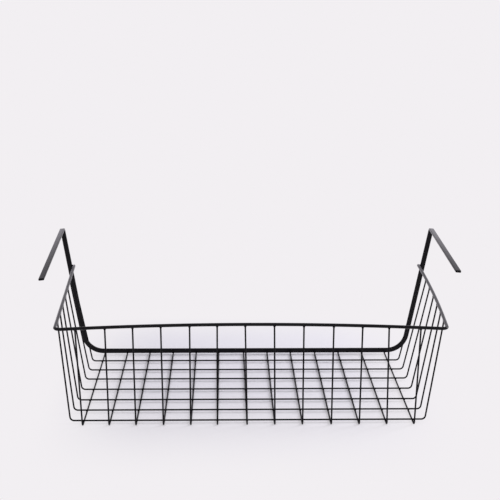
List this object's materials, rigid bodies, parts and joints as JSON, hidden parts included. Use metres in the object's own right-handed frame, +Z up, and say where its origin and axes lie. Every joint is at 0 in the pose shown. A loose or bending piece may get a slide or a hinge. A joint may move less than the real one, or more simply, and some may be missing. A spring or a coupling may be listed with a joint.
{
  "type": "under shelf basket",
  "caption": "Open-backed tray of welded black wire with flared sides, hung from a shelf board by two flat strip arms.",
  "frame": {"origin": "middle of the bounding box at the level of the floor wires' undersides", "axes": "+X to the right along the front wall, +Y from the front wall to the open rear and the hanger, +Z up"},
  "size_m": [0.4642, 0.2433, 0.1703],
  "materials": {
    "strip_coat": "satin black powder coat on flat steel strip",
    "rim_coat": "satin black powder coat on steel wire",
    "mesh_coat": "satin black powder coat on thin steel wire"
  },
  "bodies": {
    "root": {"hanger_frame": "strip_coat", "rim_wire": "rim_coat", "cross_wire_1": "mesh_coat", "cross_wire_2": "mesh_coat", "cross_wire_3": "mesh_coat", "cross_wire_4": "mesh_coat", "cross_wire_5": "mesh_coat", "cross_wire_6": "mesh_coat", "cross_wire_7": "mesh_coat", "depth_wire_01": "mesh_coat", "depth_wire_02": "mesh_coat", "depth_wire_03": "mesh_coat", "depth_wire_04": "mesh_coat", "depth_wire_05": "mesh_coat", "depth_wire_06": "mesh_coat", "depth_wire_07": "mesh_coat", "depth_wire_08": "mesh_coat", "depth_wire_09": "mesh_coat", "depth_wire_10": "mesh_coat", "depth_wire_11": "mesh_coat", "depth_wire_12": "mesh_coat", "depth_wire_13": "mesh_coat"}
  },
  "joints": []
}
